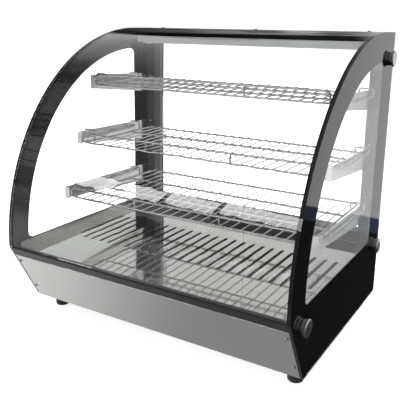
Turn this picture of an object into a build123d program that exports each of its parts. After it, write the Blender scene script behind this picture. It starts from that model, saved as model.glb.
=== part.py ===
from build123d import *
import os
import math

os.makedirs("parts", exist_ok=True)

# Curved glass heated display case, millimetres, +Z up, front towards -Y.
# Everything is drawn with y = 0 at the rear edge of the side glasses and
# z = 0 under the feet. write() moves it so that the origin is the middle of
# the base.

# ------------------------------------------------------------ driving sizes
ORIGIN_Y = 276.0          # shift of the drawing along Y
GLASS_OUT = 351.0         # outer face of a side glass, |x|
GLASS_IN = 345.0          # inner face of a side glass, |x|
INNER = 344.6             # half width of what sits between the side glasses
CURVED_T = 6.0            # thickness of the curved front glass
CURVED_SET = 0.7          # how far it sits inside the side glass edges
BOTTOM = 36.6             # underside of the case
TOP = 684.0               # top edge of the side glasses
SLANT_TOP = (-549.0, 165.0)
SLANT_LOW = (-479.0, 38.0)
BEZ = [(-70.0, TOP), (-382.0, TOP), (-560.0, 430.0), (-560.0, 192.0)]

DECK_Z = 170.0            # top of the deck plate
SLOT_PITCH = 25.5
SLOT_W = 8.4
SLOTS = 12                # slots each side of the middle one
SLOT_Y = (-382.0, -192.0)

POST_X = (305.0, 332.0)
POST_Y = (-43.0, 8.0)
POST_T = 1.5
SILL_Z = (170.6, 199.0)
BEAM_Z = (642.0, 681.4)

# shelf: front top rail (y, z), front low rail (y, z), cross rods y,
# hanger z, hanger front y
SHELVES = {
    "upper": dict(rail=(-293.0, 566.0), low=(-293.0, 542.0), rods=(-215.0, -138.0), rear=-60.0, hz=543.0, hy=-253.0),
    "middle": dict(rail=(-347.0, 426.5), low=(-350.0, 403.5), rods=(-250.0, -157.0), rear=-65.0, hz=415.0, hy=-303.0),
    "lower": dict(rail=(-393.0, 296.5), low=(-391.0, 273.5), rods=(-278.0, -165.0), rear=-53.0, hz=277.0, hy=-347.0),
}
# bracket arm: front y, front z low/high, rear z low/high, screw z
BRACKETS = {
    "upper": dict(y=-285.0, f=(530.0, 563.0), r=(505.0, 556.0), s=548.0),
    "middle": dict(y=-339.0, f=(395.0, 427.0), r=(371.0, 422.0), s=420.0),
    "lower": dict(y=-391.0, f=(266.0, 295.0), r=(240.0, 291.0), s=290.0),
}
ARM_X = (328.6, 330.1)
SHELF_HALF = 305.0
WIRE_PITCH = 25.4
WIRE_R = 1.4
ROD_R = 2.5
HANG_X = 336.5
HANG_R = 2.0
HANG_REAR = -115.0

FIXINGS = [(-35.5, 624.0), (-36.0, 171.0), (-498.0, 156.0)]   # y, z
CAP_R = 18.0
CAP_OUT = 363.0

DOOR_T = 4.0
DOOR_Z = (189.0, 652.0)
DOOR_REAR_Y = (-12.0, -8.0)     # left door's pane
DOOR_FRONT_Y = (-26.0, -22.0)   # right door's pane
DOOR_X = (-304.0, 12.0)         # left door's pane

FOOT_AT = [(-316.5, -430.0), (316.5, -430.0), (-316.5, -50.0), (316.5, -50.0)]
PANEL_Y = (-15.2, -14.0)        # rear control panel
CTRL_Z = 105.0
KNOB_X = 90.0
POWER_X = -60.0
LIGHT_X = -20.0
PILOT_X = 22.0
DIAL_X = 185.0
GLAND_X = -250.0
GLAND_Z = 75.0
SWITCH_PIVOT_Y = -20.0
SWITCH_TILT = 8.0


# ------------------------------------------------------------------ helpers
def flat(items):
    out = []
    for i in items:
        if isinstance(i, (list, tuple)):
            out += flat(i)
        else:
            out += list(i.solids())
    return out


def fuse(*items):
    s = flat(items)
    r = s[0].fuse(*s[1:])
    return flat([r])


def cut(a, *tools):
    t = flat(tools)
    out = []
    for s in flat([a]):
        out += flat([s.cut(*t)])
    return out


def write(name, *items):
    s = [i.moved(Location((0, ORIGIN_Y, 0))) for i in flat(items)]
    shape = s[0] if len(s) == 1 else Compound(s)
    export_step(shape, "parts/" + name + ".step")


def mir(*items):
    return [s.mirror(Plane.YZ) for s in flat(items)]


def poly(pts):
    return Face(Wire.make_polygon([Vector(u, v, 0) for u, v in pts], close=True))


def px(face, x0, x1):
    """extrude a (y, z) face from x0 to x1"""
    p = Plane(origin=(x0, 0, 0), x_dir=(0, 1, 0), z_dir=(1, 0, 0))
    return Solid.extrude(face.moved(p.location), Vector(x1 - x0, 0, 0))


def py(face, y0, y1):
    """extrude an (x, z) face from y0 to y1"""
    p = Plane(origin=(0, y0, 0), x_dir=(1, 0, 0), z_dir=(0, -1, 0))
    return Solid.extrude(face.moved(p.location), Vector(0, y1 - y0, 0))


def pz(face, z0, z1):
    """extrude an (x, y) face from z0 to z1"""
    return Solid.extrude(face.moved(Location((0, 0, z0))), Vector(0, 0, z1 - z0))


def box(x0, x1, y0, y1, z0, z1):
    return Solid.make_box(x1 - x0, y1 - y0, z1 - z0, Plane((x0, y0, z0)))


def cyl(p, axis, r, h):
    return Solid.make_cylinder(r, h, Plane(origin=p, z_dir=axis))


def lathe(pts, p, axis):
    """turn (radius, height) points about an axis through p"""
    a = Vector(*axis).normalized()
    x = Vector(1, 0, 0) if abs(a.X) < 0.9 else Vector(0, 1, 0)
    x = (x - a * x.dot(a)).normalized()
    pl = Plane(origin=p, x_dir=x, z_dir=x.cross(a))
    f = poly(pts).moved(pl.location)
    return Solid.revolve(f, 360, Axis(p, a))


def rrect(u0, u1, v0, v1, r):
    """rounded rectangle wire"""
    k = r * (1 - math.sqrt(0.5))
    P = lambda u, v: Vector(u, v, 0)
    e = [Edge.make_line(P(u0 + r, v0), P(u1 - r, v0)),
         Edge.make_three_point_arc(P(u1 - r, v0), P(u1 - k, v0 + k), P(u1, v0 + r)),
         Edge.make_line(P(u1, v0 + r), P(u1, v1 - r)),
         Edge.make_three_point_arc(P(u1, v1 - r), P(u1 - k, v1 - k), P(u1 - r, v1)),
         Edge.make_line(P(u1 - r, v1), P(u0 + r, v1)),
         Edge.make_three_point_arc(P(u0 + r, v1), P(u0 + k, v1 - k), P(u0, v1 - r)),
         Edge.make_line(P(u0, v1 - r), P(u0, v0 + r)),
         Edge.make_three_point_arc(P(u0, v0 + r), P(u0 + k, v0 + k), P(u0 + r, v0))]
    return Wire(e)


def sheet(path, t, r):
    """section of a folded sheet: centre line, thickness, inner bend radius"""
    n = len(path)
    pts = [Vector(u, v, 0) for u, v in path]
    d = [(pts[i + 1] - pts[i]).normalized() for i in range(n - 1)]
    nn = [Vector(-k.Y, k.X, 0) for k in d]
    R = r + t / 2
    sides = []
    for s in (1, -1):
        e = []
        prev = pts[0] + nn[0] * (s * t / 2)
        for i in range(1, n - 1):
            cross = d[i - 1].X * d[i].Y - d[i - 1].Y * d[i].X
            th = math.atan2(cross, d[i - 1].dot(d[i]))
            sg = 1 if th > 0 else -1
            T = R * math.tan(abs(th) / 2)
            a = pts[i] - d[i - 1] * T
            b = pts[i] + d[i] * T
            c = a + nn[i - 1] * (sg * R)
            A = a + nn[i - 1] * (s * t / 2)
            B = b + nn[i] * (s * t / 2)
            M = c + (pts[i] - c).normalized() * (R - s * sg * t / 2)
            e.append(Edge.make_line(prev, A))
            e.append(Edge.make_three_point_arc(A, M, B))
            prev = B
        end = pts[-1] + nn[-1] * (s * t / 2)
        e.append(Edge.make_line(prev, end))
        sides.append((e, pts[0] + nn[0] * (s * t / 2), end))
    (e1, s1, f1), (e2, s2, f2) = sides
    return Face(Wire(e1 + [Edge.make_line(f1, f2)] + e2 + [Edge.make_line(s2, s1)]))


def rod(points, r, bend):
    """round bar bent along a polyline"""
    pts = [Vector(*p) for p in points]
    e = []
    prev = pts[0]
    for i in range(1, len(pts) - 1):
        d0 = (pts[i] - pts[i - 1]).normalized()
        d1 = (pts[i + 1] - pts[i]).normalized()
        th = math.acos(max(-1, min(1, d0.dot(d1))))
        T = bend * math.tan(th / 2)
        a = pts[i] - d0 * T
        b = pts[i] + d1 * T
        m = (d1 - d0).normalized()
        c = pts[i] + m * (bend / math.cos(th / 2))
        M = c - m * bend
        e.append(Edge.make_line(prev, a))
        e.append(Edge.make_three_point_arc(a, M, b))
        prev = b
    e.append(Edge.make_line(prev, pts[-1]))
    d0 = (pts[1] - pts[0]).normalized()
    sec = Face(Wire.make_circle(r, Plane(origin=pts[0], z_dir=d0)))
    return Solid.sweep(sec, Wire(e))


def pan_head(p, axis, r, h, shank_r, shank_l):
    """screw with a low domed head; p is under the head, axis points out"""
    pts = [(0, -shank_l), (shank_r, -shank_l), (shank_r, 0), (r, 0), (r, h * 0.45),
           (r * 0.86, h * 0.78), (r * 0.6, h * 0.95), (r * 0.3, h), (0, h)]
    return lathe(pts, p, axis)


def bez(t):
    k = [(1 - t) ** 3, 3 * t * (1 - t) ** 2, 3 * t * t * (1 - t), t ** 3]
    return (sum(a * b[0] for a, b in zip(k, BEZ)), sum(a * b[1] for a, b in zip(k, BEZ)))


def bez_d(t):
    k = [3 * (1 - t) ** 2, 6 * t * (1 - t), 3 * t * t]
    dy = sum(k[i] * (BEZ[i + 1][0] - BEZ[i][0]) for i in range(3))
    dz = sum(k[i] * (BEZ[i + 1][1] - BEZ[i][1]) for i in range(3))
    l = math.hypot(dy, dz)
    return dy / l, dz / l


def inner_curve(off, n=28):
    """points of the front curve moved inwards by off, top to bottom"""
    out = []
    for i in range(n + 1):
        t = i / n
        y, z = bez(t)
        dy, dz = bez_d(t)
        out.append((y - dz * off, z + dy * off))
    return out


def curve_edge(off):
    p = [Vector(y, z, 0) for y, z in inner_curve(off)]
    return Edge.make_spline(p, tangents=[Vector(-1, 0, 0), Vector(0, -1, 0)]), p[0], p[-1]


V2 = lambda u, v: Vector(u, v, 0)
SL = (SLANT_LOW[0] - SLANT_TOP[0], SLANT_LOW[1] - SLANT_TOP[1])
SLEN = math.hypot(*SL)
SD = (SL[0] / SLEN, SL[1] / SLEN)          # down the slant
SN = (SD[1], -SD[0])                       # outward normal of the slant

# -------------------------------------------------------------- side glasses
outline = [
    Edge.make_line(V2(-6, TOP), V2(BEZ[0][0], TOP)),
    Edge.make_bezier(*[V2(*p) for p in BEZ]),
    Edge.make_line(V2(*BEZ[3]), V2(-560.0, 189.0)),
    Edge.make_three_point_arc(V2(-560.0, 189.0), V2(-559.35, 185.6), V2(-557.8, 181.6)),
    Edge.make_line(V2(-557.8, 181.6), V2(-479.9, 39.9)),
    Edge.make_three_point_arc(V2(-479.9, 39.9), V2(-477.4, 37.5), V2(-474.0, BOTTOM)),
    Edge.make_line(V2(-474.0, BOTTOM), V2(-3.0, BOTTOM)),
    Edge.make_three_point_arc(V2(-3.0, BOTTOM), V2(-0.88, BOTTOM + 0.88), V2(0, BOTTOM + 3)),
    Edge.make_line(V2(0, BOTTOM + 3), V2(0, TOP - 6)),
    Edge.make_three_point_arc(V2(0, TOP - 6), V2(-1.757, TOP - 1.757), V2(-6, TOP)),
]
glass = px(Face(Wire(outline)), GLASS_IN, GLASS_OUT)
holes = [cyl((GLASS_IN - 1, y, z), (1, 0, 0), 5.0, 8) for y, z in FIXINGS]
glass = cut(glass, holes)
write("side_glass_right", glass)
write("side_glass_left", mir(glass))

# ------------------------------------------------------- curved front glass
eo, o0, o1 = curve_edge(CURVED_SET)
ei, i0, i1 = curve_edge(CURVED_SET + CURVED_T)
low = 188.0
w = Wire([eo, Edge.make_line(o1, V2(o1.X, low)), Edge.make_line(V2(o1.X, low), V2(i1.X, low)),
          Edge.make_line(V2(i1.X, low), i1), ei, Edge.make_line(i0, o0)])
write("curved_front_glass", px(Face(w), -INNER, INNER))

# seal strip that carries the lower edge of the curved glass
strip = poly([(-549.3, 165.7), (-559.3, 183.8), (-559.3, 187.7), (-553.0, 187.7), (-553.0, 191.0),
              (-550.2, 191.0), (-549.2, 172.0), (-546.0, 171.2), (-546.0, 165.7)])
write("front_seal_strip", px(strip, -INNER, INNER))

# -------------------------------------------------------------- front panel
PT = 1.2


def slant(s, depth):
    """point a distance s down the slant and depth behind its outer face"""
    return (SLANT_TOP[0] + SD[0] * s - SN[0] * depth, SLANT_TOP[1] + SD[1] * s - SN[1] * depth)


k = PT / 2
top_c = slant(0.5, k)
bot_c = slant(SLEN, k)
bot_c = slant(SLEN + (bot_c[1] - BOTTOM - k) / -SD[1], k)
panel = sheet([(top_c[0] + 19.0, top_c[1]), top_c, bot_c, (bot_c[0] + 18.0, bot_c[1])], PT, 0.8)
panel = px(panel, -INNER, INNER)
fp_screws = [(s * 338.0, y, z) for s in (-1, 1) for y, z in ((-539.5, 148.0), (-495.8, 68.6))]
NV = (0, SN[0], SN[1])
scr, drill = [], []
for x, y, z in fp_screws:
    t = (y - SLANT_TOP[0]) * SD[0] + (z - SLANT_TOP[1]) * SD[1]
    q = slant(t, 0)
    scr.append(pan_head((x, q[0], q[1]), NV, 3.6, 2.2, 1.7, 8.0))
    drill.append(cyl((x, q[0] + SN[0] * 2, q[1] + SN[1] * 2), (0, -SN[0], -SN[1]), 1.85, 8.0))
panel = cut(panel, drill)
write("front_panel", panel)
write("front_panel_screws", scr)

# ----------------------------------------------------------------- base pan
BT = 1.2
FL = BOTTOM + PT + 0.2            # underside of the pan
floor = box(-343.4, 343.4, -471.5, 7.4, FL, FL + BT)
s_in = 2.0
a = slant(2.0, s_in)
b = slant(SLEN - 1.5, s_in)
wall = poly([(b[0], FL), (7.4, FL), (7.4, 150.0), (-50.0, 150.0), (-50.0, 163.5), (-536.0, 163.5),
             (a[0] + (163.5 - a[1]) / SD[1] * SD[0], 163.5), b])
wall = px(wall, 342.2, 343.4)
flange = px(poly([slant(8.0, s_in), slant(SLEN - 6, s_in), slant(SLEN - 6, s_in + BT), slant(8.0, s_in + BT)]), 326.0, 343.4)
corner = box(333.4, 343.4, 6.2, 7.4, FL, 150.0)
lug = box(290.0, 304.0, -16.6, -15.4, FL, 60.0)
right = [wall, flange, corner]
pan = fuse(floor, right, mir(*right), lug, mir(lug))
tools = [cyl((x, y, FL - 2), (0, 0, 1), 3.3, 6) for x, y in FOOT_AT]
tools += [cyl((s * 340.0 - 6, FIXINGS[2][0], FIXINGS[2][1]), (1, 0, 0), 3.3, 12) for s in (-1, 1)]
tools += drill
rp_screws = [(s * 297.0, PANEL_Y[1], z) for s in (-1, 1) for z in (52.0, 158.0)]
tools += [cyl((x, PANEL_Y[1] + 2, z), (0, -1, 0), 1.9, 8) for x, y, z in rp_screws]
pan = cut(pan, tools)
write("base_pan", pan)

# --------------------------------------------------------------- deck plate
deck_out = Wire.make_polygon([V2(-340.5, -545.6), V2(340.5, -545.6), V2(340.5, -52.0), V2(331.0, -52.0),
                              V2(331.0, -44.0), V2(-331.0, -44.0), V2(-331.0, -52.0), V2(-340.5, -52.0)], close=True)
slots = []
for i in range(-SLOTS, SLOTS + 1):
    x = i * SLOT_PITCH
    y0 = SLOT_Y[0] + (17.0 if abs(i) == SLOTS else 0.0)
    y1 = SLOT_Y[1]
    r = SLOT_W / 2
    slots.append(Wire([Edge.make_line(V2(x + r, y0 + r), V2(x + r, y1 - r)),
                       Edge.make_three_point_arc(V2(x + r, y1 - r), V2(x, y1), V2(x - r, y1 - r)),
                       Edge.make_line(V2(x - r, y1 - r), V2(x - r, y0 + r)),
                       Edge.make_three_point_arc(V2(x - r, y0 + r), V2(x, y0), V2(x + r, y0 + r))]))
deck_scr = [(s * 322.0, y) for s in (-1, 1) for y in (-500.0, -290.0, -90.0)]
ring = [Wire.make_circle(2.2, Plane((x, y, 0))) for x, y in deck_scr]
deck = pz(Face(deck_out, slots + ring), DECK_Z - 1.2, DECK_Z)
lip_f = box(-338.0, 338.0, -545.6, -544.4, 167.3, DECK_Z - 0.6)
lip_r = box(-330.0, 330.0, -45.2, -44.0, 160.0, DECK_Z - 0.6)
deck = fuse(deck, lip_f, lip_r)
write("deck_plate", deck)
small_screws = [pan_head((x, y, DECK_Z), (0, 0, 1), 3.6, 2.2, 1.8, 6.0) for x, y in deck_scr]

# angle at each side that carries the deck's edge and stands up beside it
ang = sheet([(341.55, 190.0), (341.55, 167.9), (314.0, 167.9)], 1.2, 0.6)
ang = py(ang, -530.0, -53.0)
ang = cut(ang, [cyl((x, y, 160), (0, 0, 1), 1.95, 12) for x, y in deck_scr if x > 0])
write("deck_side_angles", ang, mir(ang))

# -------------------------------------------------------------- rear posts
post = sheet([(314.0, POST_Y[1] - 0.75), (POST_X[0] + 0.75, POST_Y[1] - 0.75), (POST_X[0] + 0.75, POST_Y[0] + 0.75),
              (POST_X[1] - 0.75, POST_Y[0] + 0.75), (POST_X[1] - 0.75, POST_Y[1] - 0.75), (323.0, POST_Y[1] - 0.75)], POST_T, 1.4)
post = pz(post, FL + BT + 0.1, 681.4)
tools = []
for b_ in BRACKETS.values():
    tools.append(box(ARM_X[0] - 0.2, ARM_X[1] + 0.2, -46, -40.6, b_["r"][0] - 0.4, b_["r"][1] + 0.4))
    tools.append(cyl((318.5, -46, b_["s"]), (0, 1, 0), 2.1, 8))
for y, z in FIXINGS[:2]:
    tools.append(cyl((328, y, z), (1, 0, 0), 3.3, 8))
tools.append(cyl((328, -24.0, 225.0), (1, 0, 0), 2.1, 8))
post = cut(post, tools)
write("rear_post_right", post)
write("rear_post_left", mir(post))

# stainless tie between the foot of each post and the lower glass fixing
tie = px(poly([(-46.5, 168.5), (-46.5, 243.0), (-44.5, 246.0), (-20.0, 246.0), (-18.0, 243.0), (-18.0, 152.0), (-42.5, 152.0), (-42.5, 168.5)]), 332.1, 333.6)
tie = cut(tie, cyl((330, FIXINGS[1][0], FIXINGS[1][1]), (1, 0, 0), 3.3, 6), cyl((330, -24.0, 225.0), (1, 0, 0), 2.1, 6))
tie_scr = pan_head((333.6, -24.0, 225.0), (1, 0, 0), 3.6, 2.2, 1.8, 6.0)
write("post_ties", tie, mir(tie))
small_screws += [tie_scr, mir(tie_scr)]

# silicone strip that closes the gap between post and side glass
gask = box(332.1, 344.9, -12.0, -1.0, 152.0, 681.0)
write("glass_gaskets", gask, mir(gask))

# --------------------------------------------------------- shelf bracket arms
scr = []
for name, b_ in BRACKETS.items():
    arm = px(poly([(b_["y"], b_["f"][0]), (b_["y"], b_["f"][1]), (-40.0, b_["r"][1]), (-40.0, b_["r"][0])]), *ARM_X)
    ff = box(315.0, ARM_X[1], b_["y"], b_["y"] + 1.5, b_["f"][0], b_["f"][1])
    rf = box(308.0, ARM_X[1], -41.4, -39.9, b_["r"][0] + 12.0, b_["r"][1] + 8.0)
    arm = cut(fuse(arm, ff, rf), cyl((318.5, -46, b_["s"]), (0, 1, 0), 2.0, 8),
              box(ARM_X[0] - 0.1, ARM_X[1] + 0.1, -46, -36, b_["r"][1] + 0.1, b_["r"][1] + 12))
    write("shelf_brackets_" + name, arm, mir(arm))
    scr.append(pan_head((318.5, POST_Y[0], b_["s"]), (0, -1, 0), 3.6, 2.2, 1.8, 6.0))
small_screws += [scr, mir(*scr)]

# ------------------------------------------------------------- wire shelves
for name, s in SHELVES.items():
    ly, lz = s["low"]
    ry, rz = s["rail"]
    rear = s["rear"]
    H = SHELF_HALF
    mid = (ly + rear) / 2
    front_u = rod([(-H, mid, lz), (-H, ly, lz), (H, ly, lz), (H, mid, lz)], ROD_R, 12.0)
    rear_u = rod([(-H, mid, lz), (-H, rear, lz), (H, rear, lz), (H, mid, lz)], ROD_R, 12.0)
    rail = rod([(-H, ly, lz), (-H, ry, rz), (H, ry, rz), (H, ly, lz)], ROD_R, 10.0)
    studs = [cyl((x, ry + (ly - ry), lz), (0, (ry - ly) / (rz - lz), 1), 2.2, rz - lz) for x in (-112.0, 112.0)]
    rods = [cyl((-H, y, lz), (1, 0, 0), ROD_R, 2 * H) for y in s["rods"]]
    zf = lz + ROD_R + WIRE_R - 0.7
    wires = []
    for i in range(24):
        x = (i - 11.5) * WIRE_PITCH
        wires.append(cyl((x, ly - 1.6, zf), (0, 1, 0), WIRE_R, rear + 1.6 - (ly - 1.6)))
    b_ = BRACKETS[name]

    def top(y):
        t = (y - b_["y"]) / (-40.0 - b_["y"])
        return b_["f"][1] + (b_["r"][1] - b_["f"][1]) * t + HANG_R + 0.35

    hf, hr = s["hy"], HANG_REAR
    hang = rod([(H, hf, lz), (H, hf, top(hf)), (HANG_X, hf, top(hf)), (HANG_X, hf, s["hz"]), (HANG_X, hr, s["hz"]),
                (HANG_X, hr, top(hr)), (H, hr, top(hr)), (H, hr, lz)], HANG_R, 5.0)
    shelf = fuse(front_u, rear_u, rail, studs, rods, wires, hang, mir(hang))
    print("shelf", name, len(shelf), "solids")
    write("shelf_" + name, shelf)

# ------------------------------------------------------- top, beam and light
tp = sheet([(8.0, 682.7), (-69.0, 682.7), (-69.0, 676.3), (-82.0, 676.3)], 1.2, 0.7)
tp = px(tp, -INNER, INNER)
tp = fuse(tp, px(sheet([(7.4, 645.0), (7.4, 682.7), (0.0, 682.7)], 1.2, 0.7), -304.6, 304.6))
tp_x = (-290.0, 0.0, 295.0)
tp = cut(tp, [cyl((x, -20.0, 676), (0, 0, 1), 2.1, 12) for x in tp_x])
write("top_panel", tp)
write("top_panel_screws", [pan_head((x, -20.0, 683.3), (0, 0, 1), 4.6, 2.7, 1.9, 9.0) for x in tp_x])

beam = sheet([(-31.0, 642.6), (-42.4, 642.6), (-42.4, 680.8), (-4.0, 680.8)], 1.2, 0.7)
beam = px(beam, -304.9, 304.9)
beam = cut(beam, [cyl((x, -20.0, 676), (0, 0, 1), 2.0, 8) for x in tp_x],
           [cyl((x, -46.0, 656.0), (0, 1, 0), 2.0, 8) for x in (-200.0, 200.0)])
write("rear_top_beam", beam)

G = ((-26.7, -21.3), (-12.7, -7.3))     # grooves for the two panes
trk = Wire.make_polygon([V2(*p) for p in [(-30.4, 643.4), (-30.4, 680.0), (-3.4, 680.0), (-3.4, 642.2), (G[1][1], 642.2), (G[1][1], 660.0),
                         (G[1][0], 660.0), (G[1][0], 642.2), (G[0][1], 642.2), (G[0][1], 660.0), (G[0][0], 660.0), (G[0][0], 643.4)]], close=True)
ch = Wire.make_polygon([V2(*p) for p in [(-28.9, 661.6), (-4.9, 661.6), (-4.9, 678.5), (-28.9, 678.5)]], close=True)
trk = px(Face(trk, [ch]), -304.8, 304.8)
trk = cut(trk, [cyl((x, -20.0, 676), (0, 0, 1), 2.0, 8) for x in tp_x])
write("door_track_top", trk)

sill = Wire.make_polygon([V2(*p) for p in [(-43.0, SILL_Z[0]), (-43.0, SILL_Z[1]), (G[0][0], SILL_Z[1]), (G[0][0], 185.0), (G[0][1], 185.0),
                          (G[0][1], SILL_Z[1]), (G[1][0], SILL_Z[1]), (G[1][0], 185.0), (G[1][1], 185.0), (G[1][1], SILL_Z[1]),
                          (-3.0, SILL_Z[1]), (-3.0, SILL_Z[0])]], close=True)
ch = Wire.make_polygon([V2(*p) for p in [(-41.2, 172.4), (-4.8, 172.4), (-4.8, 183.2), (-41.2, 183.2)]], close=True)
write("door_track_sill", px(Face(sill, [ch]), -304.8, 304.8))

lh = sheet([(-99.5, 644.2), (-99.5, 661.5), (-44.6, 661.5), (-44.6, 650.0)], 1.0, 1.0)
lh = px(lh, -320.0, 320.0)
cap = px(poly([(-99.0, 645.0), (-99.0, 661.0), (-45.1, 661.0), (-45.1, 651.0), (-60.0, 645.0)]), 319.0, 320.0)
lh = fuse(lh, cap, mir(cap))
lh = cut(lh, [cyl((x, -48.0, 656.0), (0, 1, 0), 2.0, 8) for x in (-200.0, 200.0)])
write("light_housing", lh)
small_screws += [pan_head((x, -45.1, 656.0), (0, -1, 0), 3.6, 2.2, 1.8, 6.0) for x in (-200.0, 200.0)]
LY, LZ = -72.0, 649.0
write("led_tube", fuse(cyl((-300, LY, LZ), (1, 0, 0), 7.0, 600), cyl((-306, LY, LZ), (1, 0, 0), 2.0, 612)))
hold = cut(box(300.3, 311.0, LY - 9.0, LY + 9.0, 640.5, 660.9), cyl((299, LY, LZ), (1, 0, 0), 2.1, 8))
write("led_tube_holders", hold, mir(hold))

# ------------------------------------------------------------ sliding doors
dl = box(DOOR_X[0], DOOR_X[1], DOOR_REAR_Y[0], DOOR_REAR_Y[1], *DOOR_Z)
write("door_left_glass", dl)
dr = box(-DOOR_X[1], -DOOR_X[0], DOOR_FRONT_Y[0], DOOR_FRONT_Y[1], *DOOR_Z)
write("door_right_glass", dr)
# finger pull: clear plate on the pane with a curled lip, stands 7 mm proud
pull = sheet([(0.0, 0.75), (13.0, 0.75), (13.0, 6.2), (9.5, 6.2)], 1.5, 0.8)


def pull_at(x, y, sgn):
    f = pull.mirror(Plane.YZ) if sgn < 0 else pull
    return pz(f.moved(Location((x, y, 0))), 350.0, 490.0)


write("door_left_pull", pull_at(DOOR_X[0] + 3.0, DOOR_REAR_Y[1], 1))
write("door_right_pull", pull_at(-DOOR_X[0] - 3.0, DOOR_FRONT_Y[1], -1))
for nm, y, xs in (("left", DOOR_REAR_Y, (-280.0, -20.0)), ("right", DOOR_FRONT_Y, (280.0, 20.0))):
    gl = [box(x - 14, x + 14, y[0] - 0.2, y[1] + 0.2, 185.3, 189.0) for x in xs]
    write("door_" + nm + "_glides", gl)

# ------------------------------------------------------------ glass fixings
caps, studs, bushes = [], [], []
for n, (y, z) in enumerate(FIXINGS):
    caps.append(lathe([(2.7, 0), (15.5, 0), (15.5, 6.2), (17.2, 6.2), (CAP_R, 7.0), (CAP_R, CAP_OUT - 353.2), (16.8, CAP_OUT - 352.0), (0, CAP_OUT - 352.0),
                       (0, 6.2), (2.7, 6.2)], (352.0, y, z), (1, 0, 0)))
    inner = 334.0 if n == 2 else 322.0
    studs.append(cyl((inner, y, z), (1, 0, 0), 2.6, 358.0 - inner))
    hexn = 4.6
    nx = 337.0 if n == 2 else 325.5
    nut = px(poly([(y + hexn * math.cos(math.radians(60 * i)), z + hexn * math.sin(math.radians(60 * i))) for i in range(6)]), nx, nx + 5.0 - (0.1 if n == 2 else 0.1))
    studs[-1] = fuse(studs[-1], nut)
    x0 = 343.5 if n == 2 else (333.7 if n == 1 else 332.1)
    bushes.append(lathe([(2.8, 0), (6.8, 0), (6.8, 344.95 - x0), (2.8, 344.95 - x0)], (x0, y, z), (1, 0, 0)))
    bushes.append(lathe([(2.8, 0), (14.5, 0), (14.5, 0.95), (2.8, 0.95)], (351.03, y, z), (1, 0, 0)))
write("glass_fixing_caps", caps, mir(*caps))
write("glass_fixing_studs", studs, mir(*flat(studs)))
write("glass_fixing_bushes", bushes, mir(*bushes))

# --------------------------------------------------------------------- feet
foot = lathe([(5.4, 0), (13.6, 0), (15.8, 1.2), (16.7, 4.0), (17.6, BOTTOM - 0.9), (17.0, BOTTOM + 1.3), (3.2, BOTTOM + 1.3), (3.2, 14.0), (5.4, 14.0)], (0, 0, 0), (0, 0, 1))
flutes = [cyl((17.9 * math.cos(math.radians(15 * i)), 17.9 * math.sin(math.radians(15 * i)), 5.0), (0, 0, 1), 1.1, 40) for i in range(24)]
foot = cut(foot, flutes)
write("feet", [s.moved(Location((x, y, 0))) for x, y in FOOT_AT for s in foot])
fs = lathe([(0, 13.95), (5.0, 13.95), (5.0, 10.6), (4.2, 9.6), (0, 9.6)][::-1], (0, 0, 0), (0, 0, 1))
fs = fuse(fs, cyl((0, 0, 12), (0, 0, 1), 3.0, 36), pz(poly([(5.5 * math.cos(math.radians(60 * i)), 5.5 * math.sin(math.radians(60 * i))) for i in range(6)]), FL + BT + 0.1, FL + BT + 5.1))
write("foot_screws", [s.moved(Location((x, y, 0))) for x, y in FOOT_AT for s in fs])

# ------------------------------------------------------ rear control panel
rp = sheet([(-42.0, 169.4), (-14.6, 169.4), (-14.6, 40.5)], 1.2, 0.8)
rp = px(rp, -304.6, 304.6)
tools = [cyl((KNOB_X, -18, CTRL_Z), (0, 1, 0), 5.2, 8), cyl((PILOT_X, -18, CTRL_Z), (0, 1, 0), 5.2, 8),
         cyl((DIAL_X, -18, CTRL_Z), (0, 1, 0), 24.2, 8), cyl((GLAND_X, -18, GLAND_Z), (0, 1, 0), 8.2, 8)]
tools += [box(x - 7.7, x + 7.7, -18, -10, CTRL_Z - 10.9, CTRL_Z + 10.9) for x in (POWER_X, LIGHT_X)]
tools += [cyl((x, -18, z), (0, 1, 0), 1.9, 8) for x, y, z in rp_screws]
write("rear_control_panel", cut(rp, tools))
small_screws += [pan_head((x, y, z), (0, 1, 0), 3.6, 2.2, 1.8, 6.0) for x, y, z in rp_screws]
write("pan_head_screws", small_screws)

# thermostat: body behind the panel, spindle in it, knob on the spindle
tb = fuse(box(KNOB_X - 17, KNOB_X + 17, -46.0, -20.0, CTRL_Z - 15, CTRL_Z + 15), cyl((KNOB_X, -20.5, CTRL_Z), (0, 1, 0), 5.0, 5.1))
tb = cut(tb, cyl((KNOB_X, -34.0, CTRL_Z), (0, 1, 0), 3.05, 22))
write("thermostat_body", tb)
sp = cut(cyl((KNOB_X, -33.8, CTRL_Z), (0, 1, 0), 3.0, 30.8), box(KNOB_X - 4, KNOB_X + 4, -14.4, -2.0, CTRL_Z + 1.5, CTRL_Z + 4))
write("thermostat_spindle", sp)
kn = lathe([(0, 21.7), (16.6, 21.7), (18.2, 20.3), (19.0, 4.0), (21.0, 1.2), (21.0, 0), (0, 0)][::-1], (KNOB_X, -13.7, CTRL_Z), (0, 1, 0))
kn = cut(kn, cyl((KNOB_X, -15.0, CTRL_Z), (0, 1, 0), 3.02, 12.2).cut(box(KNOB_X - 4, KNOB_X + 4, -16.0, -2.0, CTRL_Z + 1.6, CTRL_Z + 4)),
         [cyl((KNOB_X + 20.6 * math.cos(math.radians(15 * i)), -8.0, CTRL_Z + 20.6 * math.sin(math.radians(15 * i))), (0, 1, 0), 2.2, 20) for i in range(24)],
         box(KNOB_X - 0.9, KNOB_X + 0.9, 7.4, 9.0, CTRL_Z + 6.0, CTRL_Z + 16.0))
write("thermostat_knob", kn)
cap = rod([(KNOB_X, -46.1, CTRL_Z + 8), (KNOB_X, -80.0, CTRL_Z + 8), (KNOB_X, -110.0, 160.0), (KNOB_X, -140.0, 160.0)], 1.0, 12.0)
bulb = cyl((KNOB_X, -210.0, 160.0), (0, 1, 0), 3.2, 72.0)
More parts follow.
